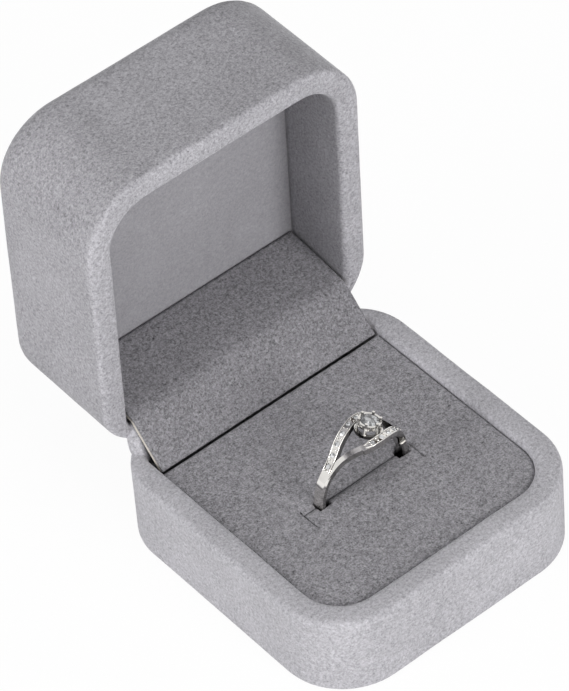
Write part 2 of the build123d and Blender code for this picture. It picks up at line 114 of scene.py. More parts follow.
class RingBoxSizes(bpy.types.PropertyGroup):
    """Lengths of the covers, pads, flap and ring."""

    width: length("Width", "Outside width of the box", BASE_HIGH.x - BASE_LOW.x)
    depth: length("Depth", "Outside depth of the box", BASE_HIGH.y - BASE_LOW.y)
    base_height: length("Base height", "Height of the base's rim", BASE_HIGH.z)
    rim_gap: length("Rim gap", "Gap between the two rims when shut", 0.3 * MM)
    lid_height: length("Lid height", "Rim to roof of the lid", 25.4 * MM)
    front_radius: length("Front corner radius", "Plan radius of the front corners", 12.2 * MM)
    rear_radius: length("Rear corner radius", "Plan radius of the rear corners", 11.0 * MM)
    opening_radius: length("Opening rear radius", "Rear corners of the opening", 2.0 * MM)
    rim_width: length("Rim width", "Width of the padded rim", 4.6 * MM)
    rim_roll: length("Rim roll", "Radius of the rim's two edges", 1.0 * MM)
    cover: length("Cover", "Thickness of the velvet with its padding", 0.8 * MM)
    crown: length("Rim crown", "Rise of the rim between its edges", 0.07 * MM)
    roof_radius: length("Roof radius", "Rounding of the lid's top edge", 3.6 * MM)
    roof_crown: length("Roof crown", "Rise of the lid's roof towards its middle", 0.2 * MM)
    lid_inside: length("Lid inside", "Rim to ceiling inside the lid", 14.0 * MM)
    opening_depth: length("Opening depth", "Depth of the covered wall beside the ring pad", 8.9 * MM)
    foot_radius: length("Foot radius", "Rounding where the velvet turns under the base", 0.6 * MM)
    foot_turn_in: length("Foot turn-in", "Width of the velvet turned in under the base", 4.0 * MM)
    pad_crown: length("Pad crown", "Rise of the ring pad's middle", 0.16 * MM)
    slit_width: length("Slit width", "Gap of the slit in the ring pad", 0.28 * MM)
    wobble: length("Wobble", "Unevenness of the padded covers", 0.055 * MM)
    bead: length("Bead", "Radius of the beads that hold the small stones", 0.15 * MM)
    wall_cuts: IntProperty(name="Wall cuts", description="Cuts along each straight wall", default=38, min=4,
                           max=80, subtype="UNSIGNED")


class RingBoxColours(bpy.types.PropertyGroup):
    """Colours of the cloth, card, plastic, metal and stones."""

    velvet: tint("Velvet", "Outer velvet of the base", (0.43, 0.422, 0.448))
    # Painted shade: the lid's velvet is the base's velvet in a darker tint.
    lid_velvet: tint("Lid velvet", "Outer velvet of the lid, brushed the other way", (0.345, 0.338, 0.36))
    # Painted shade: the ring pad's velvet is the base's velvet in a darker tint, for its place down in the
    # opening.
    pad_velvet: tint("Pad velvet", "Velvet of the ring pad", (0.272, 0.266, 0.283))
    # Painted shade: the flap's velvet is the base's velvet in a darker tint, for its place under the open
    # lid.
    flap_velvet: tint("Flap velvet", "Velvet of the hinge flap", (0.245, 0.239, 0.255))
    # Painted shade: the lining is darker than the base's velvet, for its place inside the lid; its smoothness
    # is its own.
    lining: tint("Lining", "Smooth cloth of the lid's ceiling", (0.325, 0.318, 0.338))
    card: tint("Card", "Card under the flap and pads", (0.62, 0.58, 0.52))
    plastic: tint("Plastic", "Moulded shells", (0.30, 0.30, 0.32))
    steel: tint("Steel", "Hinge", (0.52, 0.51, 0.50))
    silver: tint("Silver", "Ring", (0.86, 0.84, 0.81))
    stone: tint("Stone", "Clear stones", (0.97, 0.98, 1.0))
    floor: tint("Floor", "Studio floor", (0.92, 0.92, 0.92))


def sizes():
    return bpy.context.scene.ring_box_sizes


def colours():
    return bpy.context.scene.ring_box_colours


# ---- materials -------------------------------------------------------------------------------
def new_material(name):
    """New material, its node tree and its surface shader."""
    material = bpy.data.materials.new(name)
    material.use_nodes = True
    tree = material.node_tree
    return material, tree, tree.nodes["Principled BSDF"]


def link(tree, a, b):
    tree.links.new(a, b)


def grain(tree, place, scale, detail=2.0, roughness=0.6, distortion=0.0):
    """Noise on object coordinates; returns its value socket."""
    made = tree.nodes.new("ShaderNodeTexNoise")
    made.inputs["Scale"].default_value = scale
    made.inputs["Detail"].default_value = detail
    made.inputs["Roughness"].default_value = roughness
    made.inputs["Distortion"].default_value = distortion
    link(tree, place, made.inputs["Vector"])
    return made.outputs["Fac"]


def object_place(tree, stretch=(1, 1, 1), turn=(0, 0, 0)):
    """Object coordinates, scaled and turned."""
    where = tree.nodes.new("ShaderNodeTexCoord")
    mapping = tree.nodes.new("ShaderNodeMapping")
    mapping.inputs["Scale"].default_value = stretch
    mapping.inputs["Rotation"].default_value = turn
    link(tree, where.outputs["Object"], mapping.inputs["Vector"])
    return mapping.outputs["Vector"]


def ranged(tree, value, low, high, out_low, out_high):
    made = tree.nodes.new("ShaderNodeMapRange")
    made.inputs["From Min"].default_value = low
    made.inputs["From Max"].default_value = high
    made.inputs["To Min"].default_value = out_low
    made.inputs["To Max"].default_value = out_high
    link(tree, value, made.inputs["Value"])
    return made.outputs["Result"]


def combined(tree, operation, a, b=0.0):
    """Math on two values, each a socket or a number."""
    made = tree.nodes.new("ShaderNodeMath")
    made.operation = operation
    for socket, value in zip(made.inputs, (a, b)):
        if isinstance(value, (int, float)):
            socket.default_value = value
        else:
            link(tree, value, socket)
    return made.outputs["Value"]


def shade_colour(tree, colour, factor):
    """Colour multiplied by a factor socket."""
    made = tree.nodes.new("ShaderNodeVectorMath")
    made.operation = "SCALE"
    made.inputs[0].default_value = colour
    link(tree, factor, made.inputs["Scale"])
    return made.outputs["Vector"]


def bump(tree, shader, height, strength, distance):
    made = tree.nodes.new("ShaderNodeBump")
    made.inputs["Strength"].default_value = strength
    made.inputs["Distance"].default_value = distance
    link(tree, height, made.inputs["Height"])
    link(tree, made.outputs["Normal"], shader.inputs["Normal"])


def painted_slit_shade(tree, half_length):
    """Painted shade along the ring pad's slit: one away from the slit, less near it."""
    apart = tree.nodes.new("ShaderNodeSeparateXYZ")
    link(tree, tree.nodes.new("ShaderNodeTexCoord").outputs["Object"], apart.inputs[0])
    across = combined(tree, "ABSOLUTE", combined(tree, "SUBTRACT", apart.outputs["Y"], RING_CENTRE.y))
    beyond = combined(tree, "SUBTRACT", combined(tree, "ABSOLUTE", apart.outputs["X"]), half_length)
    reach = combined(tree, "MAXIMUM", across, beyond)
    return ranged(tree, reach, 0, 0.75 * MM, 0.66, 1.0)


def painted_rim_highlight(tree, across, near, far, gain):
    """Painted highlight on the rolled rim: the gain holds up to the near level and has faded out at the far
    one.
    """
    dot = tree.nodes.new("ShaderNodeVectorMath")
    dot.operation = "DOT_PRODUCT"
    link(tree, tree.nodes.new("ShaderNodeTexCoord").outputs["Object"], dot.inputs[0])
    dot.inputs[1].default_value = across
    return ranged(tree, dot.outputs["Value"], near, far, gain, 1.0)


def velvet_material(name, tone, contrast, patches, sheen=0.35, pile=0.6, slit=None, rim=None):
    """Short pile: fine grain, short strokes, dark pits between tufts and soft brushed patches."""
    material, tree, shader = new_material(name)
    place = object_place(tree)
    fine = grain(tree, place, 3300, detail=2.0, roughness=0.75)
    strokes = grain(tree, place, 1750, detail=1.0, roughness=0.5, distortion=0.3)
    pits = ranged(tree, grain(tree, place, 2300, detail=1.0, roughness=0.5), 0.28, 0.40, 1.0, 0.0)
    brushed = grain(tree, place, 75, detail=3.0, roughness=0.55, distortion=0.6)
    fine_depth, stroke_depth = 0.42 * contrast, 0.24 * contrast
    factor = ranged(tree, fine, 0.25, 0.75, -fine_depth, fine_depth)
    factor = combined(tree, "ADD", factor, ranged(tree, strokes, 0.25, 0.75, -stroke_depth, stroke_depth))
    factor = combined(tree, "ADD", factor, ranged(tree, brushed, 0.3, 0.7, -patches, patches))
    factor = combined(tree, "ADD", factor, ranged(tree, pits, 0, 1, 0, -0.16 * contrast))
    factor = combined(tree, "ADD", factor, 1.0)
    # Painted shade: the pad's colour darkens along its slit.
    if slit:
        factor = combined(tree, "MULTIPLY", factor, painted_slit_shade(tree, slit))
    # Painted highlight: the lid's rolled rim is brightened in the colour.
    if rim:
        factor = combined(tree, "MULTIPLY", factor, painted_rim_highlight(tree, *rim))
    link(tree, shade_colour(tree, getattr(colours(), tone), factor), shader.inputs["Base Color"])
    shader.inputs["Roughness"].default_value = 0.95
    shader.inputs["Specular IOR Level"].default_value = 0.12
    shader.inputs["Sheen Weight"].default_value = sheen
    shader.inputs["Sheen Roughness"].default_value = 0.42
    shader.inputs["Sheen Tint"].default_value = (0.9, 0.9, 0.92, 1)
    bump(tree, shader, combined(tree, "ADD", fine, strokes), pile, 0.0002)
    return material


def card_material():
    """Pressed card with faint fibres."""
    material, tree, shader = new_material("card")
    place = object_place(tree, (1, 6, 6))
    fibre = grain(tree, place, 700, 3.0, 0.6)
    factor = ranged(tree, fibre, 0.2, 0.8, 0.86, 1.08)
    link(tree, shade_colour(tree, colours().card, factor), shader.inputs["Base Color"])
    shader.inputs["Roughness"].default_value = 0.9
    bump(tree, shader, fibre, 0.3, 0.0001)
    return material


def plastic_material():
    """Moulded shell with a light mould texture."""
    material, tree, shader = new_material("moulded_plastic")
    place = object_place(tree)
    speck = grain(tree, place, 900, 2.0, 0.5)
    factor = ranged(tree, speck, 0.2, 0.8, 0.92, 1.06)
    link(tree, shade_colour(tree, colours().plastic, factor), shader.inputs["Base Color"])
    link(tree, ranged(tree, speck, 0.2, 0.8, 0.45, 0.6), shader.inputs["Roughness"])
    bump(tree, shader, speck, 0.15, 0.00005)
    return material


def steel_material():
    """Rolled steel, drawn along the barrel."""
    material, tree, shader = new_material("rolled_steel")
    place = object_place(tree, (0.04, 1, 1))
    lines = grain(tree, place, 4200, 3.0, 0.6)
    factor = ranged(tree, lines, 0.2, 0.8, 0.86, 1.1)
    link(tree, shade_colour(tree, colours().steel, factor), shader.inputs["Base Color"])
    shader.inputs["Metallic"].default_value = 1.0
    link(tree, ranged(tree, lines, 0.2, 0.8, 0.28, 0.42), shader.inputs["Roughness"])
    bump(tree, shader, lines, 0.08, 0.00002)
    return material


def painted_side_shade(tree):
    """Painted shade on the ring's metal: one on faces that look away from the ring's axis, less on its sides
    and inside.
    """
    coord = tree.nodes.new("ShaderNodeTexCoord")
    out, unit, dot = (tree.nodes.new("ShaderNodeVectorMath") for _ in range(3))
    out.operation, unit.operation, dot.operation = "SUBTRACT", "NORMALIZE", "DOT_PRODUCT"
    link(tree, coord.outputs["Object"], out.inputs[0])
    out.inputs[1].default_value = RING_CENTRE
    link(tree, out.outputs["Vector"], unit.inputs[0])
    link(tree, unit.outputs["Vector"], dot.inputs[0])
    link(tree, coord.outputs["Normal"], dot.inputs[1])
    return ranged(tree, dot.outputs["Value"], 0.0, 0.65, 0.34, 1.0)


def silver_material():
    """Polished white metal with faint handling marks, and painted shade on its sides and inside."""
    material, tree, shader = new_material("polished_silver")
    place = object_place(tree)
    haze = grain(tree, place, 500, 3.0, 0.5)
    marks = grain(tree, object_place(tree, (0.2, 1, 1), (0.3, 0.5, 0.2)), 6000, 2.0, 0.5)
    factor = ranged(tree, haze, 0.3, 0.7, 0.93, 1.03)
    # Painted shade: the ring's sides and inside are darkened in the colour.
    factor = combined(tree, "MULTIPLY", factor, painted_side_shade(tree))
    link(tree, shade_colour(tree, colours().silver, factor), shader.inputs["Base Color"])
    shader.inputs["Metallic"].default_value = 1.0
    link(tree, ranged(tree, haze, 0.3, 0.7, 0.06, 0.14), shader.inputs["Roughness"])
    bump(tree, shader, marks, 0.03, 0.00001)
    return material


def stone_material(name, clear, glint_scale, dark):
    """Cut stone with painted glints: cells of dark to bright in its colour stand in for facets that catch the
    light, more or less clear.
    """
    material, tree, shader = new_material(name)
    cells = tree.nodes.new("ShaderNodeTexVoronoi")
    cells.inputs["Scale"].default_value = glint_scale
    link(tree, object_place(tree), cells.inputs["Vector"])
    # Painted glints and reflections: the Voronoi cells darken and brighten the stone's colour.
    factor = ranged(tree, cells.outputs["Color"], 0.3, 0.6, dark, 1.0)
    link(tree, shade_colour(tree, colours().stone, factor), shader.inputs["Base Color"])
    shader.inputs["Roughness"].default_value = 0.02
    shader.inputs["IOR"].default_value = 2.1
    shader.inputs["Transmission Weight"].default_value = clear
    return material


# The lid's rim is square to (0, 1, 0.028) in the open rest pose, because the lid leans a little to the front.
VELVETS = {
    "outer_velvet": {"tone": "velvet", "contrast": 0.75, "patches": 0.07, "pile": 0.5},
    # The lid's rim gets a painted highlight, up to 1.17 times as bright.
    "lid_velvet": {"tone": "lid_velvet", "contrast": 0.9, "patches": 0.09, "pile": 0.5,
                   "rim": ((0, 1, 0.028), 27.9 * MM, 28.9 * MM, 1.17)},
    # The pad's slit gets painted shade for 10.5 mm each side of the middle.
    "pad_velvet": {"tone": "pad_velvet", "contrast": 1.35, "patches": 0.05, "sheen": 0.22, "slit": 10.5 * MM},
    "flap_velvet": {"tone": "flap_velvet", "contrast": 1.3, "patches": 0.05, "sheen": 0.22},
    "lining_cloth": {"tone": "lining", "contrast": 0.35, "patches": 0.05, "sheen": 0.2, "pile": 0.25},
}


def velvet(name):
    """The named velvet or lining, made once."""
    return bpy.data.materials.get(name) or velvet_material(name, **VELVETS[name])


# ---- mesh helpers ----------------------------------------------------------------------------
def plan_loop(bm, inset, level, rear_radius, shown):
    """Edges of one closed loop on the box's plan, drawn in by inset. shown is 1 on the visible skin."""
    s = sizes()
    shown_layer = bm.verts.layers.float.get("shown") or bm.verts.layers.float.new("shown")
    used_layer = bm.edges.layers.int.get("used") or bm.edges.layers.int.new("used")
    half_x = s.width / 2 - inset
    half_y = s.depth / 2 - inset
    corners = bmesh.ops.create_grid(bm, x_segments=1, y_segments=1, size=1.0)["verts"]
    for v in corners:
        v.co = Vector((math.copysign(half_x, v.co.x), math.copysign(half_y, v.co.y), level))
        v[shown_layer] = shown
    front = [v for v in corners if v.co.y < 0]
    rear = [v for v in corners if v.co.y > 0]
    for group, radius in ((front, max(s.front_radius - inset, LEAST_RADIUS)), (rear, rear_radius)):
        bmesh.ops.bevel(bm, geom=group, offset=radius, offset_type="OFFSET", segments=16, profile=0.5,
                        affect="VERTICES", material=-1, clamp_overlap=False)
    fresh = [e for e in bm.edges if not e[used_layer]]
    bmesh.ops.delete(bm, geom=list({f for e in fresh for f in e.link_faces}), context="FACES_ONLY")
    straight = sorted(fresh, key=lambda e: -e.calc_length())[:4]
    bmesh.ops.subdivide_edges(bm, edges=straight, cuts=s.wall_cuts)
    fresh = [e for e in bm.edges if not e[used_layer]]
    for e in fresh:
        e[used_layer] = 1
        for v in e.verts:
            v[shown_layer] = shown
    return fresh


def lofted(bm, loops, closed):
    """Bridges each loop to the next. Neighbours differ a little in level, because a flat bridge may twist."""
    pairs = list(zip(loops, loops[1:]))
    if closed:
        pairs.append((loops[-1], loops[0]))
    for a, b in pairs:
        bmesh.ops.bridge_loops(bm, edges=a + b)


def finish_mesh(bm, name, body, material, smooth=True):
    """Turns a bmesh into a piece, which rides on a body if one is given."""
    bmesh.ops.recalc_face_normals(bm, faces=bm.faces[:])
    mesh = bpy.data.meshes.new(name)
    bm.to_mesh(mesh)
    bm.free()
    for p in mesh.polygons:
        p.use_smooth = smooth
    piece = bpy.data.objects.new(name, mesh)
    bpy.context.collection.objects.link(piece)
    mesh.materials.append(material)
    if body:
        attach(piece, body)
    return piece


def uneven(bm, amount, seed):
    """Moves the shown skin a little in and out, as padding under velvet does."""
    layer = bm.verts.layers.float.get("shown")
    bm.normal_update()
    shift = Vector((seed * 3.1, seed * 1.7, seed * 0.9))
    for v in bm.verts:
        if layer is not None and v[layer] < 0.5:
            continue
        broad = noise.noise(v.co * 95 + shift)
        close = noise.noise(v.co * 330 + shift)
        v.co += v.normal * amount * (broad + 0.45 * close)


def flatten_stop(bm, sign, limit, core_limit):
    """Lays the rear rim back on the slope where the open lid stops on the base: sign is 1 for the base and
    -1 for the lid, limit holds for the skin and core_limit for its inside."""
    layer = bm.verts.layers.float.get("shown")
    for v in bm.verts:
        most = limit if v[layer] > 0.5 else core_limit
        over = v.co.y + sign * v.co.z - most
        if over > 0:
            v.co -= Vector((0, over / 2, sign * over / 2))


def cut_hinge_room(piece, side):
    """Takes the hinge barrel's and leaf's room out of a cover: side is -1 below the hinge and 1 above it."""
    barrel = bmesh.new()
    turn = Matrix.Translation(HINGE) @ Matrix.Rotation(math.pi / 2, 4, "Y")
    bmesh.ops.create_cone(barrel, cap_ends=True, segments=32, radius1=BARREL_ROOM, radius2=BARREL_ROOM,
                          depth=BARREL_LENGTH, matrix=turn)
    centre = HINGE + Vector((0, -0.85, side * 5)) * MM
    subtract(piece, [barrel, block(centre - LEAF_ROOM, centre + LEAF_ROOM)])


def block(low, high):
    """Box between two corners, as a bmesh."""
    bm = bmesh.new()
    low, high = Vector(low), Vector(high)
    bmesh.ops.create_cube(bm, size=1.0, matrix=Matrix.Translation((low + high) / 2)
                          @ Matrix.Diagonal((*(high - low), 1)))
    return bm


def subtract(piece, cutters):
    """Cuts each bmesh out of a piece."""
    made = []
    for bm in cutters:
        mesh = bpy.data.meshes.new("cutter")
        bm.to_mesh(mesh)
        bm.free()
        cutter = bpy.data.objects.new("cutter", mesh)
        bpy.context.collection.objects.link(cutter)
        cut = piece.modifiers.new("cut", "BOOLEAN")
        cut.operation = "DIFFERENCE"
        cut.solver = "EXACT"
        cut.object = cutter
        made.append(cutter)
    apply_modifiers(piece)
    for cutter in made:
        mesh = cutter.data
        bpy.data.objects.remove(cutter)
        bpy.data.meshes.remove(mesh)


def apply_modifiers(piece):
    """Replaces a piece's mesh with its evaluated one."""
    graph = bpy.context.evaluated_depsgraph_get()
    mesh = bpy.data.meshes.new_from_object(piece.evaluated_get(graph))
    old = piece.data
    piece.modifiers.clear()
    piece.data = mesh
    bpy.data.meshes.remove(old)
    for p in mesh.polygons:
        p.use_smooth = True


def rim_profile(rim, way):
    """Rows over the visible rim from the outer wall to the inner one: inset, level, rear radius and 1. way is
    1 for a rim that faces up and -1 for one that faces down."""
    s = sizes()
    roll = s.rim_roll
    rows = []
    for step in range(7):
        a = math.pi / 2 * step / 6
        inset = roll * (1 - math.cos(a))
        rows.append((inset, rim - way * roll * (1 - math.sin(a)), s.rear_radius - inset, 1))
    inner = s.rim_width - roll
    outer_radius = s.rear_radius - roll
    inner_radius = s.opening_radius + roll
    for share in (0.2, 0.5, 0.86):
        inset = roll + (inner - roll) * share
        rise = s.crown * (1 - (2 * share - 1) ** 2)
        rows.append((inset, rim + way * rise, outer_radius + (inner_radius - outer_radius) * share, 1))
    for step in range(7):
        a = math.pi / 2 * step / 6
        inset = inner + roll * math.sin(a)
        rows.append((inset, rim - way * roll * (1 - math.cos(a)), s.opening_radius + s.rim_width - inset, 1))
    return rows


def spread(start, stop, count):
    """Levels between two, without the ends."""
    return [start + (stop - start) * i / count for i in range(1, count)]


# ---- covers ----------------------------------------------------------------------------------
class RINGBOX_OT_base_cover(bpy.types.Operator):
    """Velvet skin over the base's shell, rolled over the rim and turned in under the foot"""

    bl_idname = "ringbox.base_cover"
    bl_label = "Base cover"

    def execute(self, context):
        s = sizes()
        bm = bmesh.new()
        top = s.base_height
        roll = s.rim_roll
        inner_wall = s.opening_radius + s.rim_width
        turn_in, foot = s.foot_turn_in, s.foot_radius
        rows = [(turn_in, NUDGE, s.rear_radius - turn_in, 1),
                (0.55 * turn_in, NUDGE / 2, s.rear_radius - 0.55 * turn_in, 1)]
        for step in range(4):
            a = math.pi / 2 * step / 3
            inset = foot * (1 - math.sin(a))
            rows.append((inset, foot * (1 - math.cos(a)), s.rear_radius - inset, 1))
        rows += [(0, z, s.rear_radius, 1) for z in spread(foot, top - roll, 15)]
        rows += rim_profile(top, 1)
        low = top - s.opening_depth
        rows += [(s.rim_width, z, s.opening_radius, 1) for z in spread(top - roll, low, 7)]
        rows.append((s.rim_width, low, s.opening_radius, 0))
        skirt = s.rim_width - s.cover
        core = s.rear_radius - s.cover
        rows += [(skirt, low + NUDGE, inner_wall - skirt, 0), (skirt, top - s.cover, inner_wall - skirt, 0),
                 (s.cover, top - s.cover + NUDGE, core, 0), (s.cover, s.cover, core, 0),
                 (turn_in, s.cover - NUDGE, s.rear_radius - turn_in, 0)]
        loops = [plan_loop(bm, *row) for row in rows]
        lofted(bm, loops, True)
        limit = s.depth / 2 - STOP_INSET + top
        flatten_stop(bm, 1, limit, limit - s.cover * math.sqrt(2))
        uneven(bm, s.wobble, 1)
        piece = finish_mesh(bm, "base_cover", "base", velvet("outer_velvet"))
        cut_hinge_room(piece, -1)
        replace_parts(piece, "base_velvet")
        return {"FINISHED"}


class RINGBOX_OT_lid_cover(bpy.types.Operator):
    """Velvet skin over the lid's shell, drawn shut and swung open"""

    bl_idname = "ringbox.lid_cover"
    bl_label = "Lid cover"

    def execute(self, context):
        s = sizes()
        bm = bmesh.new()
        rim = s.base_height + s.rim_gap
        top = rim + s.lid_height
        roll = s.rim_roll
        fillet = s.roof_radius
        inner_wall = s.opening_radius + s.rim_width

        def rear(inset):
            return max(s.rear_radius - inset, LEAST_RADIUS)

        roof = [24 * MM, 20 * MM, 16 * MM, 12.5 * MM, 10 * MM, 7.5 * MM, 5.5 * MM]
        rows = [(i, top + s.roof_crown * i / roof[0], rear(i), 1) for i in roof]
        for step in range(8):
            a = math.pi / 2 * step / 7
            inset = fillet * (1 - math.sin(a))
            rows.append((inset, top - fillet * (1 - math.cos(a)), s.rear_radius - inset, 1))
        rows += [(0, z, s.rear_radius, 1) for z in spread(top - fillet, rim + roll, 22)]
        rows += rim_profile(rim, -1)
        ceiling = rim + s.lid_inside
        rows += [(s.rim_width, z, s.opening_radius, 1) for z in spread(rim + roll, ceiling, 12)]
        rows.append((s.rim_width, ceiling, s.opening_radius, 0))
        skirt = s.rim_width - s.cover
        rows += [(skirt, ceiling - NUDGE, inner_wall - skirt, 0),
                 (skirt, rim + s.cover, inner_wall - skirt, 0),
                 (s.cover, rim + s.cover - NUDGE, s.rear_radius - s.cover, 0)]
        bevel = fillet - 2 * s.cover
        inner_top = top - s.cover
        rows += [(s.cover, inner_top - bevel, s.rear_radius - s.cover, 0),
                 (s.cover + bevel, inner_top, s.rear_radius - s.cover - bevel, 0),
                 (roof[0], inner_top + NUDGE, LEAST_RADIUS, 0)]
        loops = [plan_loop(bm, *row) for row in rows]
        lofted(bm, loops, False)
        for loop in (loops[0], loops[-1]):
            bmesh.ops.edgeloop_fill(bm, edges=loop)
        limit = s.depth / 2 - STOP_INSET - rim
        flatten_stop(bm, -1, limit, limit - s.cover * math.sqrt(2))
        bmesh.ops.recalc_face_normals(bm, faces=bm.faces[:])
        uneven(bm, s.wobble, 2)
        piece = finish_mesh(bm, "lid_cover", None, velvet("lid_velvet"))
        cut_hinge_room(piece, 1)
        piece.data.transform(SWING_OPEN)
        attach(piece, "lid")
        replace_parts(piece, "lid_velvet")
        return {"FINISHED"}


# ---- pads ------------------------------------------------------------------------------------
def cushion(bm, low, high, radii, top, bottom, roll, crown, cells, sculpt=None):
    """Padded form on a rounded plan. low and high are its plan corners, radii its front and rear corner
    radii, roll the rounding of its top edge and crown the rise of its middle. sculpt adds to the height."""
    centre = (Vector(low) + Vector(high)) / 2
    half = (Vector(high) - Vector(low)) / 2 - Vector((roll, roll))
    verts = bmesh.ops.create_grid(bm, x_segments=cells[0], y_segments=cells[1], size=1.0)["verts"]
    for v in verts:
        x, y = v.co.x * half.x, v.co.y * half.y
        radius = max((radii[0] if y < 0 else radii[1]) - roll, 0.0)
        u = (abs(x) - (half.x - radius)) / radius if radius else -1
        w = (abs(y) - (half.y - radius)) / radius if radius else -1
        if u > 0 and w > 0:
            share = max(u, w) / math.hypot(u, w)
            x = math.copysign(half.x - radius + radius * u * share, x)
            y = math.copysign(half.y - radius + radius * w * share, y)
        swell = (1 - (x / half.x) ** 2) * (1 - (y / half.y) ** 2)
        v.co = Vector((centre.x + x, centre.y + y, top + crown * max(swell, 0)))
    if sculpt:
        for v in verts:
            v.co.z += sculpt(v.co.x, v.co.y)
    edge = [e for e in bm.edges if e.is_boundary]
    steps = 6
    place = Vector((centre.x, centre.y, 0))
    size = half.copy()
    levels = [(roll * (1 - math.cos(math.pi / 2 * k / steps)), roll * math.sin(math.pi / 2 * k / steps))
              for k in range(steps + 1)]
    moves = [(levels[k + 1][1] - levels[k][1], levels[k + 1][0] - levels[k][0]) for k in range(steps)]
    walls = max(int((top - roll - bottom) / (1.2 * MM)), 1)
    moves += [(0.0, (top - roll - bottom) / walls)] * walls
    for out, down in moves:
        made = bmesh.ops.extrude_edge_only(bm, edges=edge)["geom"]
        fresh = [g for g in made if isinstance(g, bmesh.types.BMVert)]
        wider = size + Vector((out, out))
        bmesh.ops.scale(bm, vec=(wider.x / size.x, wider.y / size.y, 1), verts=fresh,
                        space=Matrix.Translation(-place))
        bmesh.ops.translate(bm, vec=(0, 0, -down), verts=fresh)
        size = wider
        edge = [g for g in made if isinstance(g, bmesh.types.BMEdge) and g.is_boundary]
    for e in edge:
        for v in e.verts:
            v.co.z = bottom
    bmesh.ops.edgeloop_fill(bm, edges=edge)


class RINGBOX_OT_ring_pad(bpy.types.Operator):
    """Velvet pad with the slit that the ring stands in"""

    bl_idname = "ringbox.ring_pad"
    bl_label = "Ring pad"

    def execute(self, context):
        s = sizes()
        pad_low, pad_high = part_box("pad_velvet")
        foam_low, foam_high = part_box("pad_foam")
        ring_y = RING_CENTRE.y
        cross = (ring_y - END_CUT_FRONT, ring_y + END_CUT_REAR)

        def sculpt(x, y):
            """Height of the cloth, drawn down along the slit, at its end cuts and round the ring's legs."""
            gap = math.hypot(max(SLIT_LEFT - x, 0, x - SLIT_RIGHT), y - ring_y)
            drop = 0.42 * math.exp(-(gap / (0.5 * MM)) ** 2)
            for end, weight in ((SLIT_LEFT, 0.26), (SLIT_RIGHT, 0.3)):
                gap = math.hypot(x - end, max(cross[0] - y, 0, y - cross[1]))
                drop = max(drop, weight * math.exp(-(gap / (0.42 * MM)) ** 2))
            for leg in (-LEG_MIDDLE, LEG_MIDDLE):
                near = math.hypot((x - leg) / 1.6, y - ring_y)
                drop = max(drop, 0.5 * math.exp(-(near / (1.1 * MM)) ** 2))
            broad = 0.06 * noise.noise(Vector((x * 120, y * 120, 3.3)))
            close = 0.05 * noise.noise(Vector((x * 380, y * 380, 1.1)))
            return (broad + close - drop) * MM

        bm = bmesh.new()
        cushion(bm, pad_low.xy, pad_high.xy, (s.front_radius - s.rim_width, 0.6 * MM), pad_high.z, foam_low.z,
                0.6 * MM, s.pad_crown, (128, 118), sculpt)
        piece = finish_mesh(bm, "ring_pad", None, velvet("pad_velvet"))
        wide, narrow = 1.35 * MM, s.slit_width / 2
        above = pad_high.z + 1 * MM
        boxes = [((SLIT_LEFT, ring_y - wide, SLIT_FLOOR), (SLIT_RIGHT, ring_y + wide, pad_high.z - 1.5 * MM)),
                 ((SLIT_LEFT, ring_y - narrow, SLIT_FLOOR), (SLIT_RIGHT, ring_y + narrow, above))]
        for end in (SLIT_LEFT, SLIT_RIGHT):
            boxes.append(((end - narrow, cross[0], pad_high.z - 1.6 * MM), (end + narrow, cross[1], above)))
        for x0, x1 in ((-LEG_OUTER, -LEG_INNER), (LEG_INNER, LEG_OUTER)):
            boxes.append(((x0, ring_y - LEG_HALF_WIDTH, SLIT_FLOOR), (x1, ring_y + LEG_HALF_WIDTH, above)))
        subtract(piece, [block(*corners) for corners in boxes])
        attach(piece, "base")
        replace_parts(piece, "pad_velvet", "pad_foam")
        return {"FINISHED"}


class RINGBOX_OT_ceiling_pad(bpy.types.Operator):
    """Thin padded lining against the lid's roof"""

    bl_idname = "ringbox.ceiling_pad"
    bl_label = "Ceiling pad"

    def execute(self, context):
        s = sizes()
        inset = s.rim_width - s.cover + 0.1 * MM
        half_x, half_y = s.width / 2 - inset, s.depth / 2 - inset
        ceiling = s.base_height + s.rim_gap + s.lid_inside
        bm = bmesh.new()
        cushion(bm, (-half_x, -half_y), (half_x, half_y), (s.front_radius - inset, 2.7 * MM), -ceiling,
                -ceiling - 1.8 * MM, 0.5 * MM, 0.1 * MM, (60, 60))
        bmesh.ops.scale(bm, vec=(1, 1, -1), verts=bm.verts[:])
        bmesh.ops.transform(bm, matrix=SWING_OPEN, verts=bm.verts[:])
        piece = finish_mesh(bm, "ceiling_pad", "lid", velvet("lining_cloth"))
        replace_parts(piece, "ceiling_velvet", "ceiling_foam")
        return {"FINISHED"}


# ---- flap and strip --------------------------------------------------------------------------
def bent_path(points, radius, step):
    """Points along straight runs with rounded bends between them."""
    path = [points[0]]
    for before, here, after in zip(points, points[1:], points[2:]):
        back = (before - here).normalized()
        on = (after - here).normalized()
        a, b = here + back * radius, here + on * radius
        for k in range(13):
            t = k / 12
            path.append(a * (1 - t) ** 2 + here * 2 * t * (1 - t) + b * t ** 2)
    path.append(points[-1])
    even = [path[0]]
    for a, b in zip(path, path[1:]):
        count = max(int((b - a).length / step), 1)
        even += [a.lerp(b, k / count) for k in range(1, count + 1)]
    return even


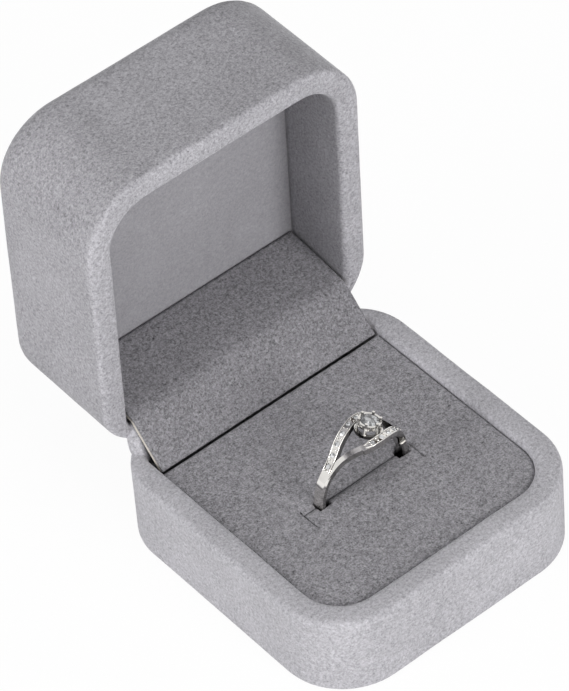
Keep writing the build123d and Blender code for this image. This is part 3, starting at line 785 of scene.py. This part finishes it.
def strip(bm, path, half_width, columns):
    """Sheet swept along a path in Y and Z."""
    start = bmesh.ops.create_grid(bm, x_segments=columns, y_segments=1, size=1.0)["verts"]
    bmesh.ops.delete(bm, geom=[v for v in start if v.co.y > 0], context="VERTS")
    for v in bm.verts:
        v.co = Vector((v.co.x * half_width, path[0].x, path[0].y))
    edges = list(bm.edges)
    for a, b in zip(path, path[1:]):
        made = bmesh.ops.extrude_edge_only(bm, edges=edges)["geom"]
        fresh = [g for g in made if isinstance(g, bmesh.types.BMVert)]
        bmesh.ops.translate(bm, vec=(0, b.x - a.x, b.y - a.y), verts=fresh)
        edges = [g for g in made if isinstance(g, bmesh.types.BMEdge)
                 and all(v in fresh for v in g.verts)]
    bmesh.ops.recalc_face_normals(bm, faces=bm.faces[:])


class RINGBOX_OT_flap_cover(bpy.types.Operator):
    """Velvet over the card flap that hides the hinge"""

    bl_idname = "ringbox.flap_cover"
    bl_label = "Flap cover"

    def execute(self, context):
        half_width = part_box("flap_upper_velvet")[1].x
        path = bent_path([FLAP_TIP, FLAP_CREASE, FLAP_ROOT], 1.6 * MM, 0.45 * MM)
        bm = bmesh.new()
        strip(bm, path, half_width, 90)
        if sum(f.normal.z for f in bm.faces) < 0:
            bmesh.ops.reverse_faces(bm, faces=bm.faces[:])
        bm.normal_update()
        for v in bm.verts:
            v.co += v.normal * 0.05 * MM * noise.noise(v.co * 160)
        bmesh.ops.solidify(bm, geom=bm.faces[:], thickness=0.5 * MM)
        piece = finish_mesh(bm, "flap_cover", None, velvet("flap_velvet"))
        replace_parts(piece, "flap_upper_velvet", "flap_lower_velvet")
        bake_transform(piece)
        return {"FINISHED"}


class RINGBOX_OT_hinge_strip(bpy.types.Operator):
    """Velvet strip glued across the back of the joint"""

    bl_idname = "ringbox.hinge_strip"
    bl_label = "Hinge strip"

    def execute(self, context):
        low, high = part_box("hinge_web")
        t = 0.5 * MM
        points = [Vector((low.y + t, low.z)), Vector((low.y + t, high.z - t)), Vector((high.y, high.z - t))]
        path = bent_path(points, 0.5 * MM, 0.3 * MM)
        bm = bmesh.new()
        strip(bm, path, high.x, 60)
        if sum(f.normal.y for f in bm.faces) < 0:
            bmesh.ops.reverse_faces(bm, faces=bm.faces[:])
        bm.normal_update()
        bmesh.ops.solidify(bm, geom=bm.faces[:], thickness=0.45 * MM)
        piece = finish_mesh(bm, "hinge_strip", None, velvet("outer_velvet"))
        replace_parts(piece, "hinge_web")
        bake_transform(piece)
        self.gussets()
        return {"FINISHED"}

    def gussets(self):
        """Soft cloth that joins the two rims at the rear corners."""
        bm = bmesh.new()
        for side in (-1, 1):
            run = Vector((-0.12 * side, 0.45, 0.88)).to_track_quat("Z", "Y").to_matrix().to_4x4()
            place = Matrix.Translation(HINGE + Vector((side * 22.55, -1.3, 0.1)) * MM) @ run
            bmesh.ops.create_uvsphere(bm, u_segments=40, v_segments=30, radius=1.0,
                                      matrix=place @ Matrix.Diagonal((1.85 * MM, 1.85 * MM, 4.2 * MM, 1)))
        bm.normal_update()
        for v in bm.verts:
            v.co += v.normal * 0.08 * MM * noise.noise(v.co * 700)
        piece = finish_mesh(bm, "hinge_gussets", None, velvet("outer_velvet"))
        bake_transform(piece)


class RINGBOX_OT_sole(bpy.types.Operator):
    """Cloth sole under the base"""

    bl_idname = "ringbox.sole"
    bl_label = "Sole"

    def execute(self, context):
        low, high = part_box("base_sole")
        s = sizes()
        bm = bmesh.new()
        inset = s.width / 2 - high.x
        cushion(bm, low.xy, high.xy, (s.front_radius - inset, s.rear_radius - inset), -low.z, -high.z,
                0.2 * MM, 0.0, (40, 40))
        bmesh.ops.scale(bm, vec=(1, 1, -1), verts=bm.verts[:])
        piece = finish_mesh(bm, "sole_cloth", "base", velvet("pad_velvet"))
        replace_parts(piece, "base_sole")
        return {"FINISHED"}


# ---- hard parts ------------------------------------------------------------------------------
def smooth_copy(node, name, body, material, angle):
    """A CAD node's shape with its flat triangles joined and shaded smoothly."""
    bm = bmesh.new()
    bm.from_mesh(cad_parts[node].data)
    bmesh.ops.remove_doubles(bm, verts=bm.verts[:], dist=0.002 * MM)
    for e in bm.edges:
        if len(e.link_faces) == 2 and e.calc_face_angle(0) > math.radians(angle):
            e.smooth = False
    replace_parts(finish_mesh(bm, name, body, material), node)


def paint(node, material):
    """Gives a CAD node its finish."""
    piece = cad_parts[node]
    piece.data.materials.clear()
    piece.data.materials.append(material)


class RINGBOX_OT_shells(bpy.types.Operator):
    """Finish of the shells, cards and hinge"""

    bl_idname = "ringbox.shells"
    bl_label = "Shells and hinge"

    def execute(self, context):
        plastic, card, steel = plastic_material(), card_material(), steel_material()
        for node in ("base_shell", "lid_shell"):
            paint(node, plastic)
        for node in ("pad_board", "ceiling_board", "ceiling_spacer", "flap_upper_board", "flap_lower_board"):
            paint(node, card)
        for node in ("hinge_leaf_base", "hinge_leaf_lid", "hinge_pin", "hinge_rivets_base",
                     "hinge_rivets_lid", "snap_spring"):
            paint(node, steel)
        return {"FINISHED"}


def ring_place():
    """From the ring's own frame, head up and axis along Y, to its place in the pad."""
    return Matrix.Translation(RING_CENTRE) @ Matrix.Rotation(RING_TILT, 4, "Y")


def arm_spot(share, turn, lift=0.0):
    """Place, run and outward direction on a stone-set arm. share runs over its stations, turn is -1 or 1 for
    the two arms and lift raises the place in mm."""
    last = len(ARM_STATIONS) - 1

    def at(value):
        k = min(int(value), last - 1)
        t = value - k
        p = [Vector(ARM_STATIONS[min(max(k + i, 0), last)]) for i in (-1, 0, 1, 2)]
        bend = 2 * p[0] - 5 * p[1] + 4 * p[2] - p[3]
        twist = 3 * p[1] - p[0] - 3 * p[2] + p[3]
        angle, side, radius = 0.5 * (2 * p[1] + (p[2] - p[0]) * t + bend * t ** 2 + twist * t ** 3)
        a = math.radians(angle * turn)
        out = Vector((math.sin(a), 0, math.cos(a)))
        return Vector((0, side * turn, 0)) + out * (radius + lift), out

    here, out = at(share)
    on, _ = at(min(share + 0.02, last))
    back, _ = at(max(share - 0.02, 0))
    return here * MM, (on - back).normalized(), out


def tube(name, runs, radius, body, material):
    """Round rails along runs of points, as one mesh."""
    curve = bpy.data.curves.new(name, "CURVE")
    curve.dimensions = "3D"
    curve.bevel_depth = radius
    curve.bevel_resolution = 2
    curve.use_fill_caps = True
    for run in runs:
        line = curve.splines.new("POLY")
        line.points.add(len(run) - 1)
        for point, place in zip(line.points, run):
            point.co = (*place, 1)
    drawn = bpy.data.objects.new(name, curve)
    bpy.context.collection.objects.link(drawn)
    graph = bpy.context.evaluated_depsgraph_get()
    bm = bmesh.new()
    bm.from_mesh(bpy.data.meshes.new_from_object(drawn.evaluated_get(graph)))
    bpy.data.objects.remove(drawn)
    return finish_mesh(bm, name, body, material)


class RINGBOX_OT_ring(bpy.types.Operator):
    """Ring with its bezel and stones"""

    bl_idname = "ringbox.ring"
    bl_label = "Ring"

    def execute(self, context):
        silver, stone = silver_material(), stone_material("clear_stone", 0.6, 1500, 0.2)
        smooth_copy("ring_shank", "ring_band", "ring", silver, 28)
        smooth_copy("ring_head", "ring_bezel", "ring", silver, 35)
        paint("centre_stone", stone)
        self.rails(silver)
        self.small_stones(stone_material("small_stone", 0.25, 2600, 0.25))
        self.beads(silver)
        return {"FINISHED"}

    def spots(self):
        """Shares along an arm where its small stones stand."""
        angles = [FIRST_STONE + (LAST_STONE - FIRST_STONE) * i / (STONES - 1) for i in range(STONES)]
        shares = []
        for angle in angles:
            for k, (a, b) in enumerate(zip(ARM_STATIONS, ARM_STATIONS[1:])):
                if b[0] <= angle <= a[0]:
                    shares.append(k + (a[0] - angle) / (a[0] - b[0]))
        return shares

    def rails(self, silver):
        runs = []
        for turn in (-1, 1):
            for edge in (-1, 1):
                run = []
                for k in range(60):
                    share = 0.35 + 5.2 * k / 59
                    here, along, out = arm_spot(share, turn, 0.03)
                    across = along.cross(out).normalized()
                    narrow = 0.64 * min(1.0, (5.9 - share) / 0.9)
                    run.append(ring_place() @ (here + across * edge * narrow * MM))
                runs.append(run)
        tube("arm_rails", runs, 0.12 * MM, "ring", silver)

    def small_stones(self, stone):
        bm = bmesh.new()
        for turn in (-1, 1):
            for share in self.spots():
                here, along, out = arm_spot(share, turn)
                face = out.to_track_quat("Z", "Y").to_matrix().to_4x4()
                place = ring_place() @ Matrix.Translation(here) @ face
                for low, high, wide, narrow in ((-0.20, 0.02, 0.47, 0.47), (0.02, 0.2, 0.47, 0.27)):
                    bmesh.ops.create_cone(bm, cap_ends=True, segments=8, radius1=wide * MM,
                                          radius2=narrow * MM, depth=(high - low) * MM,
                                          matrix=place @ Matrix.Translation((0, 0, (low + high) / 2 * MM)))
        piece = finish_mesh(bm, "small_stones", "ring", stone, False)
        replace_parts(piece, "pave_stones")

    def beads(self, silver):
        bm = bmesh.new()
        radius = sizes().bead
        spots = self.spots()
        for turn in (-1, 1):
            between = [(a + b) / 2 for a, b in zip(spots, spots[1:])]
            for share in [spots[0] - 0.2, *between, spots[-1] + 0.2]:
                here, along, out = arm_spot(share, turn, 0.08)
                across = along.cross(out).normalized()
                for edge in (-1, 1):
                    place = ring_place() @ (here + across * edge * 0.3 * MM)
                    bmesh.ops.create_icosphere(bm, subdivisions=2, radius=radius,
                                               matrix=Matrix.Translation(place))
        finish_mesh(bm, "stone_beads", "ring", silver)


# ---- studio ----------------------------------------------------------------------------------
def area_light(name, place, size, power):
    """Round light that looks at the box."""
    lamp = bpy.data.lights.new(name, "AREA")
    lamp.shape = "DISK"
    lamp.size = size
    lamp.energy = power
    made = bpy.data.objects.new(name, lamp)
    made.location = place
    made.rotation_euler = (Vector((0, 0.01, 0.02)) - Vector(place)).to_track_quat("-Z", "Y").to_euler()
    bpy.context.collection.objects.link(made)


class RINGBOX_OT_studio(bpy.types.Operator):
    """Pale floor, soft light and the camera"""

    bl_idname = "ringbox.studio"
    bl_label = "Studio"

    def execute(self, context):
        scene = bpy.context.scene
        scene.view_settings.view_transform = "Standard"
        self.floor()
        self.dark_cards()
        self.world()
        area_light("key_light", (0.10, -0.95, 0.42), 0.5, 6.4)
        area_light("left_light", (-0.95, 0.10, 0.30), 0.5, 5.2)
        area_light("top_light", (-0.1, -0.1, 1.0), 0.6, 2.2)
        self.camera()
        return {"FINISHED"}

    def floor(self):
        bm = bmesh.new()
        bmesh.ops.create_grid(bm, x_segments=1, y_segments=1, size=1.5)
        bmesh.ops.translate(bm, vec=(0, 0, -0.00002), verts=bm.verts[:])
        material, tree, shader = new_material("studio_floor")
        shader.inputs["Roughness"].default_value = 0.9
        place = object_place(tree)
        speck = ranged(tree, grain(tree, place, 40, 2), 0.2, 0.8, 0.99, 1.01)
        link(tree, shade_colour(tree, colours().floor, speck), shader.inputs["Base Color"])
        glow = tree.nodes.new("ShaderNodeEmission")
        path = tree.nodes.new("ShaderNodeLightPath")
        mixed = tree.nodes.new("ShaderNodeMixShader")
        output = tree.nodes["Material Output"]
        seen = combined(tree, "MAXIMUM", path.outputs["Is Camera Ray"], path.outputs["Is Glossy Ray"])
        seen = combined(tree, "MAXIMUM", seen, path.outputs["Is Transmission Ray"])
        link(tree, combined(tree, "MULTIPLY", seen, 0.95), mixed.inputs["Fac"])
        link(tree, shader.outputs["BSDF"], mixed.inputs[1])
        link(tree, glow.outputs["Emission"], mixed.inputs[2])
        link(tree, mixed.outputs["Shader"], output.inputs["Surface"])
        finish_mesh(bm, "floor", None, material, False)

    def dark_cards(self):
        """Dark cards that only gloss and clear stone see, so that polished metal has contrast."""
        material, tree, shader = new_material("dark_card")
        speck = ranged(tree, grain(tree, object_place(tree), 30, 2), 0.2, 0.8, 0.8, 1.2)
        link(tree, shade_colour(tree, (0.035, 0.026, 0.02), speck), shader.inputs["Base Color"])
        shader.inputs["Roughness"].default_value = 0.9
        head = RING_CENTRE + Vector((0, 0, 6.7)) * MM
        cards = (((0.42, 0.56, 0.72), 0.085), ((-0.55, 0.75, 0.35), 0.06), ((0.9, -0.3, 0.3), 0.07))
        for number, (way, radius) in enumerate(cards):
            way = Vector(way).normalized()
            turn = way.to_track_quat("Z", "Y").to_matrix().to_4x4()
            bm = bmesh.new()
            bmesh.ops.create_circle(bm, cap_ends=True, segments=40, radius=radius,
                                    matrix=Matrix.Translation(head + way * 0.3) @ turn)
            made = finish_mesh(bm, f"dark_card_{number}", None, material, False)
            made.visible_camera = made.visible_diffuse = made.visible_shadow = False

    def world(self):
        world = bpy.data.worlds.new("studio")
        world.use_nodes = True
        tree = world.node_tree
        back = tree.nodes["Background"]
        back.inputs["Color"].default_value = (1, 1, 1, 1)
        path = tree.nodes.new("ShaderNodeLightPath")
        seen = combined(tree, "MAXIMUM", path.outputs["Is Camera Ray"], path.outputs["Is Transmission Ray"])
        seen = combined(tree, "MAXIMUM", seen, combined(tree, "MULTIPLY", path.outputs["Is Glossy Ray"], 0.8))
        link(tree, ranged(tree, seen, 0, 1, 0.32, 1.0), back.inputs["Strength"])
        bpy.context.scene.world = world

    def camera(self):
        lens = bpy.data.cameras.new("camera")
        made = bpy.data.objects.new("camera", lens)
        back = Vector((math.sin(AZIMUTH) * math.cos(ELEVATION), -math.cos(AZIMUTH) * math.cos(ELEVATION),
                       math.sin(ELEVATION)))
        side = (-back).cross(Vector((0, 0, 1))).normalized()
        down = (-back).cross(side)
        right = side * math.cos(ROLL) - down * math.sin(ROLL)
        under = side * math.sin(ROLL) + down * math.cos(ROLL)
        place = -(right * SHIFT_RIGHT + under * SHIFT_DOWN - back * DISTANCE)
        made.matrix_world = Matrix((
            (right.x, -under.x, back.x, place.x), (right.y, -under.y, back.y, place.y),
            (right.z, -under.z, back.z, place.z), (0, 0, 0, 1)))
        lens.sensor_fit = "HORIZONTAL"
        lens.sensor_width = SENSOR_WIDTH_MM
        lens.lens = FOCAL_PIXELS * SENSOR_WIDTH_MM / PHOTO_WIDTH_PIXELS
        lens.clip_start, lens.clip_end = 0.05, 20
        bpy.context.collection.objects.link(made)
        bpy.context.scene.camera = made


OPERATORS = (RINGBOX_OT_base_cover, RINGBOX_OT_lid_cover, RINGBOX_OT_ring_pad, RINGBOX_OT_ceiling_pad,
             RINGBOX_OT_flap_cover, RINGBOX_OT_hinge_strip, RINGBOX_OT_sole, RINGBOX_OT_shells,
             RINGBOX_OT_ring, RINGBOX_OT_studio)


class RINGBOX_PT_panel(bpy.types.Panel):
    """Sizes, colours and pieces of the ring box"""

    bl_idname = "RINGBOX_PT_panel"
    bl_label = "Ring Box"
    bl_space_type = "VIEW_3D"
    bl_region_type = "UI"
    bl_category = "Ring Box"

    def draw(self, context):
        for group in (context.scene.ring_box_sizes, context.scene.ring_box_colours):
            box = self.layout.box()
            for name in group.__annotations__:
                box.prop(group, name)
        for operator in OPERATORS:
            self.layout.operator(operator.bl_idname)


CLASSES = (RingBoxSizes, RingBoxColours, *OPERATORS, RINGBOX_PT_panel)


def register():
    for c in CLASSES:
        bpy.utils.register_class(c)
    bpy.types.Scene.ring_box_sizes = PointerProperty(type=RingBoxSizes)
    bpy.types.Scene.ring_box_colours = PointerProperty(type=RingBoxColours)


def unregister():
    del bpy.types.Scene.ring_box_colours
    del bpy.types.Scene.ring_box_sizes
    for c in reversed(CLASSES):
        bpy.utils.unregister_class(c)


def main():
    register()
    for operator in OPERATORS:
        family, name = operator.bl_idname.split(".")
        getattr(getattr(bpy.ops, family), name)()


if __name__ == "__main__":
    main()
